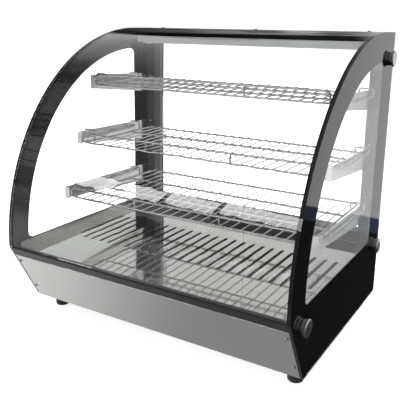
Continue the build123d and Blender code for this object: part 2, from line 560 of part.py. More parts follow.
bulb = fuse(cap, bulb)
clip = box(KNOB_X - 5, KNOB_X + 5, -180.0, -168.0, 163.4, 168.6)
write("thermostat_bulb", bulb)
write("thermostat_bulb_clip", cut(clip, cyl((KNOB_X, -185, 160.0), (0, 1, 0), 3.3, 20)))

# rocker switches: snap-in housing and a rocker on two pins
for nm, X in (("power", POWER_X), ("light", LIGHT_X)):
    hs = fuse(box(X - 9.5, X + 9.5, PANEL_Y[1] + 0.02, -12.0, CTRL_Z - 12.5, CTRL_Z + 12.5),
              box(X - 7.5, X + 7.5, -38.0, -13.0, CTRL_Z - 10.7, CTRL_Z + 10.7))
    hs = cut(hs, box(X - 6.3, X + 6.3, -30.0, -10.0, CTRL_Z - 9.7, CTRL_Z + 9.7), cyl((X - 9, SWITCH_PIVOT_Y, CTRL_Z), (1, 0, 0), 1.25, 18))
    tab = [box(X + d - 1.5, X + d + 1.5, -44.0, -38.0, CTRL_Z + e - 0.4, CTRL_Z + e + 0.4) for d in (0,) for e in (-6, 0, 6)]
    hs = fuse(hs, tab)
    write(nm + "_switch_housing", hs)
    prof = [(9.0, -8.0), (7.2, -4.0), (6.6, 0.0), (7.2, 4.0), (9.0, 8.0), (2.0, 7.4), (-3.0, 4.0), (-3.0, -4.0), (2.0, -7.4)]
    c, s_ = math.cos(math.radians(SWITCH_TILT)), math.sin(math.radians(SWITCH_TILT))
    prof = [(SWITCH_PIVOT_Y + u * c - v * s_, CTRL_Z + u * s_ + v * c) for u, v in prof]
    rk = fuse(px(poly(prof), X - 5.9, X + 5.9), cyl((X - 7.4, SWITCH_PIVOT_Y, CTRL_Z), (1, 0, 0), 1.2, 14.8))
    write(nm + "_rocker", rk)

# dial thermometer
tc = lathe([(24.0, 0), (24.0, 3.0), (28.0, 3.0), (28.0, 8.6), (25.6, 8.6), (25.6, 4.6), (0.66, 4.6), (0.66, 0.0)], (DIAL_X, -17.0, CTRL_Z), (0, 1, 0))
tb = lathe([(1.2, 0), (23.0, 0), (23.0, 12.1), (1.2, 12.1)], (DIAL_X, -29.0, CTRL_Z), (0, 1, 0))
write("thermometer_case", fuse(tc, tb))
write("thermometer_lens", cyl((DIAL_X, -10.4, CTRL_Z), (0, 1, 0), 25.5, 1.6))
ptr = pz(poly([(-1.0, -6.0), (1.0, -6.0), (1.6, 0), (0.3, 19.0), (-0.3, 19.0), (-1.6, 0)]), 0, 0.6)
ptr = ptr.moved(Location((0, 0, 0), (-90, 0, 0))).moved(Location((0, 0, 0), (0, -45.0, 0)))
ptr = ptr.moved(Location((DIAL_X, -11.9, CTRL_Z)))
hub = lathe([(0, 0), (0.6, 0), (0.6, 5.1), (2.0, 5.1), (2.0, 6.1), (0, 6.1)], (DIAL_X, -17.0, CTRL_Z), (0, 1, 0))
write("thermometer_pointer", fuse(ptr, hub))

# pilot lamp, cable gland, terminal block
pl = fuse(cyl((PILOT_X, PANEL_Y[1] + 0.02, CTRL_Z), (0, 1, 0), 7.0, 1.6), cyl((PILOT_X, -32.0, CTRL_Z), (0, 1, 0), 5.0, 19.0))
pl = fuse(pl, lathe([(0, 0), (5.0, 0), (5.0, 2.0), (4.0, 4.2), (2.2, 5.4), (0, 5.8)], (PILOT_X, -13.0, CTRL_Z), (0, 1, 0)))
write("pilot_lamp", pl)
hexa = lambda r: poly([(GLAND_X + r * math.cos(math.radians(60 * i + 30)), GLAND_Z + r * math.sin(math.radians(60 * i + 30))) for i in range(6)])
gd = fuse(py(hexa(12.6), PANEL_Y[1] + 0.02, -8.0), lathe([(0, 0), (11.0, 0), (11.0, 8.0), (8.4, 11.5), (0, 11.5)], (GLAND_X, -8.2, GLAND_Z), (0, 1, 0)),
          cyl((GLAND_X, -27.0, GLAND_Z), (0, 1, 0), 8.0, 14.0))
gd = cut(gd, cyl((GLAND_X, -30, GLAND_Z), (0, 1, 0), 4.5, 40))
write("cable_gland", gd)
gn = cut(py(hexa(12.0), -20.2, PANEL_Y[0] - 0.02), cyl((GLAND_X, -24, GLAND_Z), (0, 1, 0), 8.05, 12))
write("cable_gland_nut", gn)
tbk = box(-240.0, -180.0, -76.0, -58.0, FL + BT + 0.05, FL + BT + 18.0)
tbk = cut(tbk, [box(-240.0 + 10 * i - 0.8, -240.0 + 10 * i + 0.8, -80, -54, FL + BT + 9, FL + BT + 20) for i in range(1, 6)],
          [cyl((-235.0 + 10 * i, -67.0, FL + BT + 12), (0, 0, 1), 2.6, 8) for i in range(6)])
write("terminal_block", tbk)

# ------------------------------------------------ heating elements and shield
ez = 120.0
els, holes = [], []
for y0 in (-370.0, -240.0):
    els.append(rod([(285.0, y0, ez), (-270.0, y0, ez), (-270.0, y0 + 44.0, ez), (285.0, y0 + 44.0, ez)], 3.2, 21.9))
    for yy in (y0, y0 + 44.0):
        holes.append(cyl((-300, yy, ez), (1, 0, 0), 3.4, 600))
write("heating_elements", els)
hs_path = [(-288.0, FL + BT + 0.7), (-300.0, FL + BT + 0.7), (-300.0, 92.0), (300.0, 92.0), (300.0, FL + BT + 0.7), (288.0, FL + BT + 0.7)]
write("heat_shield", py(sheet(hs_path, 1.0, 1.0), -455.0, -125.0))
eb = []
for x in (-220.0, 0.0, 220.0):
    br = sheet([(x + 14.0, 93.1), (x, 93.1), (x, 129.0)], 1.0, 0.8)
    eb += cut(py(br, -385.0, -181.0), holes)
write("element_brackets", eb)
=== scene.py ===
import bpy
import bmesh
import math
import random
from mathutils import Matrix, Vector

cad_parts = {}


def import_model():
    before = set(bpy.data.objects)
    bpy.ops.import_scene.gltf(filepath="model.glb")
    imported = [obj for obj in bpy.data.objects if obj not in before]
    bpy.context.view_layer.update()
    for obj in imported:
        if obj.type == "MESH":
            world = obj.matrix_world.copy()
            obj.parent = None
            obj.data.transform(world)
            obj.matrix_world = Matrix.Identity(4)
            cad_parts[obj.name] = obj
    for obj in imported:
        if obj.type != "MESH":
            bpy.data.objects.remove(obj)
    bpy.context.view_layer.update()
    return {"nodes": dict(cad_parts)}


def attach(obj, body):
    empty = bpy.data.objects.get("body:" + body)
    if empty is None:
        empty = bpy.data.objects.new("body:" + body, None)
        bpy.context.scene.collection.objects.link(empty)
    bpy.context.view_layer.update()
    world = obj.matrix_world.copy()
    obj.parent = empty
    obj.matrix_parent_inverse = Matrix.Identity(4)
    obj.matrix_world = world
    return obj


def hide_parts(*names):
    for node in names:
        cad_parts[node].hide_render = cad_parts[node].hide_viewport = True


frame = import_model()
nodes = frame["nodes"]
random.seed(7)

OY = 276.0


def P(x, y, z):
    """drawing millimetres (y from the rear edge of the side glasses) to metres in the part's frame"""
    return Vector((x, y + OY, z)) / 1000.0


# ------------------------------------------------------------------ camera
az, el, roll = math.radians(31.08), math.radians(13.40), math.radians(0.85)
view_d = Vector((-math.sin(az) * math.cos(el), math.cos(az) * math.cos(el), -math.sin(el)))
right = Vector((math.cos(az), math.sin(az), 0.0))
up = right.cross(view_d)
c_, s_ = math.cos(roll), math.sin(roll)
r2 = c_ * right + s_ * up
u2 = -s_ * right + c_ * up
cam_data = bpy.data.cameras.new("camera")
cam_data.lens = 54.27
cam_data.sensor_width = 36.0
cam_data.sensor_fit = "HORIZONTAL"
cam_data.shift_x = 0.0
cam_data.shift_y = -0.0795
cam_data.clip_start = 0.02
cam = bpy.data.objects.new("camera", cam_data)
bpy.context.scene.collection.objects.link(cam)
cam.matrix_world = Matrix(((r2.x, u2.x, -view_d.x, 0.7072), (r2.y, u2.y, -view_d.y, -1.1868),
                           (r2.z, u2.z, -view_d.z, 0.6940), (0, 0, 0, 1)))
bpy.context.scene.camera = cam
bpy.context.scene.view_settings.view_transform = "Standard"


# --------------------------------------------------------------- node helpers
class Mat:
    def __init__(self, name):
        self.mat = bpy.data.materials.new(name)
        self.mat.use_nodes = True
        self.nt = self.mat.node_tree
        self.nt.nodes.clear()
        self.out = self.nt.nodes.new("ShaderNodeOutputMaterial")
        self.bs = self.nt.nodes.new("ShaderNodeBsdfPrincipled")
        self.link(self.bs.outputs[0], self.out.inputs[0])
        self.tc = self.nt.nodes.new("ShaderNodeTexCoord")

    def link(self, a, b):
        self.nt.links.new(a, b)

    def set(self, **kw):
        for k, v in kw.items():
            self.bs.inputs[k.replace("_", " ")].default_value = v
        return self

    def coords(self, scale=(1, 1, 1), rot=(0, 0, 0), kind="Object"):
        m = self.nt.nodes.new("ShaderNodeMapping")
        m.inputs["Scale"].default_value = scale
        m.inputs["Rotation"].default_value = rot
        self.link(self.tc.outputs[kind], m.inputs["Vector"])
        return m.outputs["Vector"]

    def noise(self, scale, detail=2.0, rough=0.5, vec=None, dist=0.0):
        n = self.nt.nodes.new("ShaderNodeTexNoise")
        n.inputs["Scale"].default_value = scale
        n.inputs["Detail"].default_value = detail
        n.inputs["Roughness"].default_value = rough
        n.inputs["Distortion"].default_value = dist
        self.link(vec if vec is not None else self.tc.outputs["Object"], n.inputs["Vector"])
        return n.outputs["Fac"]

    def ramp(self, fac, lo, hi, a, b, smooth=False):
        m = self.nt.nodes.new("ShaderNodeMapRange")
        if smooth:
            m.interpolation_type = "SMOOTHSTEP"
        m.inputs["From Min"].default_value = lo
        m.inputs["From Max"].default_value = hi
        m.inputs["To Min"].default_value = a
        m.inputs["To Max"].default_value = b
        self.link(fac, m.inputs["Value"])
        return m.outputs["Result"]

    def math(self, op, a, b=None):
        m = self.nt.nodes.new("ShaderNodeMath")
        m.operation = op
        for i, v in enumerate((a, b)):
            if v is None:
                continue
            if isinstance(v, (int, float)):
                m.inputs[i].default_value = v
            else:
                self.link(v, m.inputs[i])
        return m.outputs[0]

    def mix(self, fac, a, b):
        m = self.nt.nodes.new("ShaderNodeMix")
        m.data_type = "RGBA"
        m.clamp_factor = True
        self.link(fac, m.inputs[0])
        for i, v in ((6, a), (7, b)):
            if isinstance(v, (tuple, list)):
                m.inputs[i].default_value = (v[0], v[1], v[2], 1.0)
            else:
                self.link(v, m.inputs[i])
        return m.outputs[2]

    def bump(self, height, strength, distance, prev=None):
        b = self.nt.nodes.new("ShaderNodeBump")
        b.inputs["Strength"].default_value = strength
        b.inputs["Distance"].default_value = distance
        self.link(height, b.inputs["Height"])
        if prev is not None:
            self.link(prev, b.inputs["Normal"])
        self.link(b.outputs[0], self.bs.inputs["Normal"])
        return b.outputs[0]

    def color(self, s):
        self.link(s, self.bs.inputs["Base Color"])

    def rough(self, s):
        self.link(s, self.bs.inputs["Roughness"])

    def tangent(self, v):
        t = self.nt.nodes.new("ShaderNodeVectorTransform")
        t.vector_type = "VECTOR"
        t.convert_from = "OBJECT"
        t.convert_to = "WORLD"
        t.inputs[0].default_value = v
        self.link(t.outputs[0], self.bs.inputs["Tangent"])


def sc(c, k):
    return tuple(x * k for x in c)


def steel(name, base, rough=(0.2, 0.3), axis="X", grain=1.0, aniso=0.0, tan=None, blotch=5.0, wave=0.0, vary=1.0):
    m = Mat(name)
    m.set(Metallic=1.0)
    st = {"X": (5.0, 1900.0, 1900.0), "Y": (1900.0, 5.0, 1900.0), "Z": (1900.0, 1900.0, 5.0)}[axis]
    line = m.noise(1.0, 3.0, 0.6, m.coords(st))
    st2 = tuple(v if v < 100 else 260.0 for v in st)
    wide = m.noise(1.0, 2.0, 0.5, m.coords(st2))
    big = m.noise(blotch, 3.0, 0.55)
    f = m.math("ADD", m.math("MULTIPLY", line, 0.45), m.math("ADD", m.math("MULTIPLY", wide, 0.25), m.math("MULTIPLY", big, 0.3)))
    m.color(m.mix(m.ramp(f, 0.32, 0.68, 0, 1), sc(base, 1 - 0.12 * vary), sc(base, 1 + 0.07 * vary)))
    m.rough(m.ramp(f, 0.3, 0.7, rough[0], rough[1]))
    n = None
    if wave:
        n = m.bump(m.noise(5.0, 1.0, 0.4), 1.0, wave)
    m.bump(line, 0.35 * grain, 0.00002, n)
    if aniso:
        m.set(Anisotropic=aniso)
        m.tangent(tan)
    return m.mat


def paint(name, base, rough=(0.3, 0.42), peel=0.4, spec=0.5, dust=0.0):
    m = Mat(name)
    m.set(Metallic=0.0)
    m.bs.inputs["Specular IOR Level"].default_value = spec
    fine = m.noise(900.0, 2.0, 0.5)
    big = m.noise(9.0, 3.0, 0.6)
    m.color(m.mix(m.ramp(big, 0.35, 0.7, 0, 1), sc(base, 0.85), tuple(min(1.0, x * 1.15 + dust) for x in base)))
    m.rough(m.ramp(m.math("ADD", m.math("MULTIPLY", big, 0.6), m.math("MULTIPLY", fine, 0.4)), 0.3, 0.7, rough[0], rough[1]))
    m.bump(fine, peel, 0.00005)
    return m.mat


def plastic(name, base, rough=(0.35, 0.5), grain=0.5, spec=0.5):
    m = Mat(name)
    m.bs.inputs["Specular IOR Level"].default_value = spec
    cell = m.noise(2600.0, 1.0, 0.5)
    big = m.noise(30.0, 3.0, 0.6)
    m.color(m.mix(m.ramp(big, 0.3, 0.7, 0, 1), sc(base, 0.88), tuple(min(1.0, x * 1.12 + 0.002) for x in base)))
    m.rough(m.ramp(big, 0.3, 0.7, rough[0], rough[1]))
    m.bump(cell, grain, 0.00003)
    return m.mat


def glass(name, tint, ior=1.5, wave=0.00002):
    m = Mat(name)
    m.set(IOR=ior, Roughness=0.0)
    m.bs.inputs["Transmission Weight"].default_value = 1.0
    big = m.noise(3.0, 2.0, 0.5)
    m.color(m.mix(m.ramp(big, 0.3, 0.7, 0, 1), sc(tint, 0.985), tint))
    m.bump(m.noise(4.0, 1.0, 0.4), 1.0, wave)
    tr = m.nt.nodes.new("ShaderNodeBsdfTransparent")
    tr.inputs[0].default_value = (0.93, 0.95, 0.94, 1)
    lp = m.nt.nodes.new("ShaderNodeLightPath")
    mx = m.nt.nodes.new("ShaderNodeMixShader")
    m.link(lp.outputs["Is Shadow Ray"], mx.inputs[0])
    m.link(m.bs.outputs[0], mx.inputs[1])
    m.link(tr.outputs[0], mx.inputs[2])
    m.link(mx.outputs[0], m.out.inputs[0])
    return m.mat


def give(mat, *names):
    for n in names:
        o = nodes[n]
        if not o.material_slots:
            o.data.materials.append(mat)
        for s in o.material_slots:
            s.material = mat


def clear_plastic(name, tint, alpha):
    m = Mat(name)
    m.set(IOR=1.49, Alpha=alpha)
    big = m.noise(25.0, 2.0, 0.5)
    m.color(m.mix(m.ramp(big, 0.3, 0.7, 0, 1), sc(tint, 0.96), tint))
    m.rough(m.ramp(big, 0.3, 0.7, 0.06, 0.14))
    m.bump(m.noise(120.0, 1.0, 0.5), 0.3, 0.00003)
    return m.mat


# ------------------------------------------------------------------ materials
M = {}
M["pull"] = clear_plastic("clear_acrylic", (0.86, 0.88, 0.87), 0.28)
M["side_glass"] = glass("side_glass_clear", (0.955, 0.975, 0.965))
M["curved_glass"] = glass("curved_glass_clear", (0.965, 0.98, 0.975), wave=0.00004)
M["door_glass"] = glass("door_glass_clear", (0.985, 0.992, 0.99), 1.12)
M["lens_glass"] = glass("lens_clear", (0.98, 0.985, 0.985))
M["front_steel"] = steel("front_panel_satin", (0.625, 0.61, 0.595), (0.18, 0.20), "X", 0.04, 0.9, (0, 0, 1), 2.0, 0.0, 0.22)
M["satin_steel"] = steel("satin_sheet", (0.62, 0.61, 0.60), (0.24, 0.34), "X", 0.6, 0.8, (0, 0, 1), 4.0)
M["pan_steel"] = steel("mill_sheet", (0.52, 0.52, 0.51), (0.32, 0.45), "X", 0.5)
M["arm_steel"] = steel("arm_sheet", (0.66, 0.66, 0.65), (0.16, 0.26), "Y", 0.5, 0.5, (0, 0, 1))
M["zinc"] = steel("zinc_plate", (0.58, 0.59, 0.6), (0.3, 0.42), "Z", 0.3, blotch=60.0)
M["screw"] = steel("screw_bright", (0.68, 0.68, 0.67), (0.14, 0.28), "Z", 0.3, blotch=300.0)
M["wire"] = steel("plated_wire", (0.57, 0.57, 0.555), (0.12, 0.22), "X", 0.15, blotch=90.0)
M["bezel"] = steel("chrome_bezel", (0.7, 0.7, 0.7), (0.06, 0.12), "Z", 0.1, blotch=80.0)
M["shield"] = steel("aluminised_sheet", (0.6, 0.6, 0.6), (0.35, 0.5), "Y", 0.5, blotch=40.0)
M["element"] = steel("heat_tinted_sheath", (0.28, 0.24, 0.21), (0.3, 0.45), "Y", 0.4, blotch=25.0)
M["copper"] = steel("copper_bulb", (0.75, 0.42, 0.27), (0.2, 0.34), "Y", 0.5, blotch=60.0)
M["track"] = steel("black_anodised", (0.03, 0.03, 0.034), (0.25, 0.38), "X", 0.5, 0.5, (0, 0, 1))
M["black_paint"] = paint("black_powder_coat", (0.012, 0.012, 0.013), (0.26, 0.36), 0.25)
M["beam_paint"] = paint("grey_satin_coat", (0.62, 0.63, 0.63), (0.28, 0.36), 0.2)
M["seal"] = plastic("black_silicone", (0.006, 0.006, 0.008), (0.2, 0.28), 0.15, 0.32)
M["dial"] = paint("dial_white", (0.78, 0.78, 0.76), (0.4, 0.5), 0.1)
M["ink"] = paint("scale_ink", (0.012, 0.012, 0.013), (0.45, 0.55), 0.1, 0.3)
M["foot_rubber"] = plastic("foot_rubber", (0.014, 0.014, 0.016), (0.42, 0.58), 0.7)
M["nylon"] = plastic("black_nylon", (0.02, 0.02, 0.02), (0.38, 0.5), 0.4)
M["grey_plastic"] = plastic("grey_moulded", (0.5, 0.5, 0.49), (0.38, 0.5), 0.4)
M["knob"] = plastic("knob_moulded", (0.014, 0.014, 0.015), (0.36, 0.48), 0.7)
M["switch"] = plastic("switch_moulded", (0.02, 0.02, 0.02), (0.32, 0.44), 0.5)
M["rocker_red"] = plastic("rocker_red", (0.5, 0.02, 0.012), (0.18, 0.28), 0.15)
M["rocker_black"] = plastic("rocker_black", (0.015, 0.015, 0.015), (0.18, 0.28), 0.15)
M["amber"] = plastic("amber_lens", (0.8, 0.28, 0.03), (0.12, 0.2), 0.1)
M["pointer"] = paint("pointer_black", (0.015, 0.015, 0.015), (0.3, 0.4), 0.1)


def deck_material():
    m = Mat("polished_deck")
    m.set(Metallic=1.0)
    hair = m.noise(1.0, 3.0, 0.6, m.coords((9.0, 1500.0, 900.0), (0, 0, 0.15)))
    hair2 = m.noise(1.0, 3.0, 0.6, m.coords((1200.0, 12.0, 900.0), (0, 0, -0.35)))
    stain = m.noise(5.0, 2.0, 0.5)
    f = m.math("ADD", m.math("MULTIPLY", hair, 0.25), m.math("ADD", m.math("MULTIPLY", hair2, 0.2), m.math("MULTIPLY", stain, 0.55)))
    m.color(m.mix(m.ramp(f, 0.3, 0.7, 0, 1), (0.57, 0.57, 0.545), (0.64, 0.64, 0.615)))
    m.rough(m.ramp(f, 0.3, 0.72, 0.02, 0.055))
    n = m.bump(m.noise(2.6, 0.0, 0.3), 1.0, 0.0016)
    m.bump(hair, 0.12, 0.00001, n)
    return m.mat


M["deck"] = deck_material()
M["angle"] = steel("deck_angle_steel", (0.52, 0.52, 0.5), (0.14, 0.24), "Y", 0.3, 0.5, (0, 0, 1))


def opal_material():
    m = Mat("opal_tube")
    m.bs.inputs["Subsurface Weight"].default_value = 0.2
    m.bs.inputs["Subsurface Radius"].default_value = (0.004, 0.004, 0.004)
    big = m.noise(20.0, 2.0, 0.5)
    m.color(m.mix(big, (0.86, 0.86, 0.84), (0.93, 0.93, 0.91)))
    m.rough(m.ramp(big, 0.3, 0.7, 0.22, 0.32))
    return m.mat


M["opal"] = opal_material()


def print_material():
    """black ceramic print bonded to the glass, also used for the painted shade at the side glass edges; the gloss
    comes from the glass over it
    """
    m = Mat("black_print_and_edge_shade")
    m.bs.inputs["Specular IOR Level"].default_value = 0.0
    dots = m.noise(1800.0, 2.0, 0.5)
    big = m.noise(6.0, 2.0, 0.5)
    m.color(m.mix(m.ramp(m.math("MULTIPLY", dots, big), 0.1, 0.45, 0, 1), (0.005, 0.005, 0.0055), (0.0065, 0.0065, 0.007)))
    m.rough(m.ramp(dots, 0.3, 0.7, 0.55, 0.75))
    return m.mat


M["print"] = print_material()

give(M["side_glass"], "side_glass_left", "side_glass_right")
give(M["curved_glass"], "curved_front_glass")
give(M["door_glass"], "door_left_glass", "door_right_glass")
give(M["lens_glass"], "thermometer_lens")
give(M["front_steel"], "front_panel")
give(M["satin_steel"], "rear_control_panel")
give(M["pan_steel"], "base_pan")
give(M["arm_steel"], "shelf_brackets_upper", "shelf_brackets_middle", "shelf_brackets_lower", "post_ties", "thermostat_bulb_clip")
give(M["zinc"], "glass_fixing_studs", "foot_screws", "thermostat_spindle")
give(M["wire"], "shelf_upper", "shelf_middle", "shelf_lower")
give(M["bezel"], "thermometer_case")
give(M["shield"], "heat_shield", "element_brackets")
give(M["element"], "heating_elements")
give(M["pull"], "door_left_pull", "door_right_pull")
give(M["copper"], "thermostat_bulb")
give(M["track"], "door_track_top", "door_track_sill")
give(M["black_paint"], "rear_post_left", "rear_post_right", "top_panel")
give(M["beam_paint"], "rear_top_beam", "light_housing")
give(M["seal"], "front_seal_strip", "glass_gaskets")
give(M["foot_rubber"], "feet")
give(M["nylon"], "door_left_glides", "door_right_glides", "glass_fixing_bushes", "cable_gland", "cable_gland_nut")
give(M["grey_plastic"], "led_tube_holders", "terminal_block", "thermostat_body")
give(M["knob"], "thermostat_knob")
give(M["switch"], "power_switch_housing", "light_switch_housing")
give(M["rocker_red"], "power_rocker")
give(M["rocker_black"], "light_rocker")
give(M["amber"], "pilot_lamp")
give(M["pointer"], "thermometer_pointer")
give(M["opal"], "led_tube")
give(M["deck"], "deck_plate")
give(M["angle"], "deck_side_angles")
give(M["screw"], "front_panel_screws", "pan_head_screws", "top_panel_screws")
give(M["zinc"], "glass_fixing_caps")

# --------------------------------------------------------------- mesh helpers


def new_object(name, bm, mat, body="cabinet", smooth=True, location=None):
    me = bpy.data.meshes.new(name)
    bmesh.ops.recalc_face_normals(bm, faces=bm.faces)
    bm.to_mesh(me)
    bm.free()
    o = bpy.data.objects.new(name, me)
    bpy.context.scene.collection.objects.link(o)
    if location is not None:
        o.location = location
    me.materials.append(mat)
    if smooth:
        for p in me.polygons:
            p.use_smooth = True
    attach(o, body)
    return o


def prism_from_polygon(loops, place, depth_vec):
    """flat polygon with holes, made into a thin closed slab; loops are (u, v) lists, place(u, v) gives the point"""
    cu = bpy.data.curves.new("tmp", "CURVE")
    cu.dimensions = "2D"
    cu.fill_mode = "BOTH"
    for pts in loops:
        sp = cu.splines.new("POLY")
        sp.points.add(len(pts) - 1)
        for p, (u, v) in zip(sp.points, pts):
            p.co = (u, v, 0, 1)
        sp.use_cyclic_u = True
    ob = bpy.data.objects.new("tmp", cu)
    bpy.context.scene.collection.objects.link(ob)
    bpy.context.view_layer.update()
    me = bpy.data.meshes.new_from_object(ob)
    bm = bmesh.new()
    bm.from_mesh(me)
    bpy.data.objects.remove(ob)
    bpy.data.curves.remove(cu)
    bpy.data.meshes.remove(me)
    bmesh.ops.remove_doubles(bm, verts=bm.verts, dist=1e-4)
    for v in bm.verts:
        v.co = place(v.co.x, v.co.y)
    ret = bmesh.ops.extrude_face_region(bm, geom=list(bm.faces))
    for v in ret["geom"]:
        if isinstance(v, bmesh.types.BMVert):
            v.co += depth_vec
    return bm


# --------------------------------------------------- black print on the glass; painted shade on the side glass edges
BEZ = [(-70.0, 684.0), (-382.0, 684.0), (-560.0, 430.0), (-560.0, 192.0)]


def bez(t):
    k = [(1 - t) ** 3, 3 * t * (1 - t) ** 2, 3 * t * t * (1 - t), t ** 3]
    return (sum(a * b[0] for a, b in zip(k, BEZ)), sum(a * b[1] for a, b in zip(k, BEZ)))


def bez_d(t):
    k = [3 * (1 - t) ** 2, 6 * t * (1 - t), 3 * t * t]
    dy = sum(k[i] * (BEZ[i + 1][0] - BEZ[i][0]) for i in range(3))
    dz = sum(k[i] * (BEZ[i + 1][1] - BEZ[i][1]) for i in range(3))
    l = math.hypot(dy, dz)
    return dy / l, dz / l


def off_curve(off, n=72, t0=0.0, t1=1.0):
    out = []
    for i in range(n + 1):
        t = t0 + (t1 - t0) * i / n
        y, z = bez(t)
        dy, dz = bez_d(t)
        out.append((y - dz * off, z + dy * off))
    return out


def rounded(pts, radii, n=8):
    """closed polygon whose marked corners are rounded"""
    out = []
    m = len(pts)
    for i, p in enumerate(pts):
        r = radii[i]
        if not r:
            out.append(p)
            continue
        a, b = Vector(pts[i - 1]), Vector(pts[(i + 1) % m])
        q = Vector(p)
        u, v = (a - q).normalized(), (b - q).normalized()
        ang = math.acos(max(-1, min(1, u.dot(v))))
        d = min(r / math.tan(ang / 2), (a - q).length * 0.95, (b - q).length * 0.95)
        rr = d * math.tan(ang / 2)
        c = q + (u + v).normalized() * (rr / math.sin(ang / 2))
        s, e = q + u * d - c, q + v * d - c
        for k in range(n + 1):
            w = s.lerp(e, k / n).normalized() * rr + c
            out.append((w.x, w.y))
    return out


def side_outline(inset):
    i = inset
    pts = [(-6.0, 684 - i), (-70.0, 684 - i)] + off_curve(i)[1:]
    pts += [(-560.0 + i, 189.0), (-559.35 + i, 185.6), (-557.8 + i * 0.9, 181.6), (-479.9 + i * 0.9, 39.9 + i * 0.3),
            (-477.4 + i * 0.6, 37.5 + i * 0.6), (-474.0, 36.6 + i), (-3.0, 36.6 + i), (-0.88 - i, 37.5 + i), (-i, 39.6 + i),
            (-i, 678.0), (-1.757 - i * 0.7, 682.243 - i * 0.7)]
    return pts


WIN_OFF, WIN_REAR, WIN_LOW = {1: (65.0, 72.0), -1: (56.0, 58.0)}, -84.0, 192.0


def window(off):
    line = []
    for i in range(97):
        line.append(off_curve(off[0] + (off[1] - off[0]) * i / 96.0, 96)[i])
    inner = [p for p in line if p[0] < WIN_REAR - 16.0 and p[1] > WIN_LOW + 14.0]
    top = (WIN_REAR, line[0][1] - 0.3)
    low = (inner[-1][0] + 0.3, WIN_LOW)
    pts = [top] + inner + [low, (WIN_REAR, WIN_LOW)]
    rad = [17.0] + [0] * len(inner) + [14.0, 6.0]
    return rounded(pts, rad)


for s, nm in ((1, "right"), (-1, "left")):
    x0, x1 = 345.03 * s, 345.08 * s
    bm = prism_from_polygon([side_outline(0.5), window(WIN_OFF[s])], lambda u, v: P(x0, u, v), Vector(((x1 - x0) / 1000, 0, 0)))
    new_object("side_print_" + nm, bm, M["print"], smooth=False)


# painted shade: a black sheet across the side glass's thickness, just inside its curved front and top edge, so that
# edge reads black
for s, nm in ((1, "right"), (-1, "left")):
    a, b = off_curve(0.3, 90), off_curve(0.46, 90)
    a = [(-8.0, 683.7)] + a + [(-559.7, 189.0)]
    b = [(-8.0, 683.54)] + b + [(-559.54, 189.0)]
    bm = bmesh.new()
    rows = []
    for (ya, za), (yb, zb) in zip(a, b):
        rows.append([bm.verts.new(P(345.2 * s, ya, za)), bm.verts.new(P(350.75 * s, ya, za)), bm.verts.new(P(350.75 * s, yb, zb)), bm.verts.new(P(345.2 * s, yb, zb))])
    for r, q in zip(rows, rows[1:]):
        for i in range(4):
            bm.faces.new((r[i], r[(i + 1) % 4], q[(i + 1) % 4], q[i]))
    bm.faces.new(rows[0])
    bm.faces.new(rows[-1])
    new_object("side_edge_painted_shade_" + nm, bm, M["print"], smooth=False)


def curved_slab(name, x0, x1, t1, off0, off1, low=None, t0=0.0, x0_low=None):
    """thin slab that follows the curved glass"""
    bm = bmesh.new()
    a = off_curve(off0, 80, t0, t1)
    b = off_curve(off1, 80, t0, t1)
    if low is not None:
        a.append((a[-1][0], low))
        b.append((b[-1][0], low))
    rows = []
    for i, ((ya, za), (yb, zb)) in enumerate(zip(a, b)):
        xi = x0 if x0_low is None else x0 + (x0_low - x0) * i / (len(a) - 1)
        rows.append([bm.verts.new(P(xi, ya, za)), bm.verts.new(P(x1, ya, za)), bm.verts.new(P(x1, yb, zb)), bm.verts.new(P(xi, yb, zb))])
    for r, q in zip(rows, rows[1:]):
        for i in range(4):
            bm.faces.new((r[i], r[(i + 1) % 4], q[(i + 1) % 4], q[i]))
    bm.faces.new(rows[0])
    bm.faces.new(rows[-1])
    return new_object(name, bm, M["print"], smooth=False)


def t_at_y(y):
    lo, hi = 0.0, 1.0
    for _ in range(40):
        m = (lo + hi) / 2
        if bez(m)[0] > y:
            lo = m
        else:
            hi = m
    return lo


curved_slab("curved_print_right", 338.8, 344.4, 1.0, 6.62, 6.67, 188.4, 0.0, 342.2)
curved_slab("curved_print_left", -338.8, -344.4, 1.0, 6.62, 6.67, 188.4, 0.0, -342.2)
curved_slab("curved_print_top", -338.6, 338.6, t_at_y(-205.0), 6.62, 6.67)

# ---------------------------------------------------------------------- screws


def axes(d):
    d = Vector(d).normalized()
    x = Vector((1, 0, 0)) if abs(d.x) < 0.9 else Vector((0, 1, 0))
    x = (x - d * x.dot(d)).normalized()
    return x, d.cross(x), d


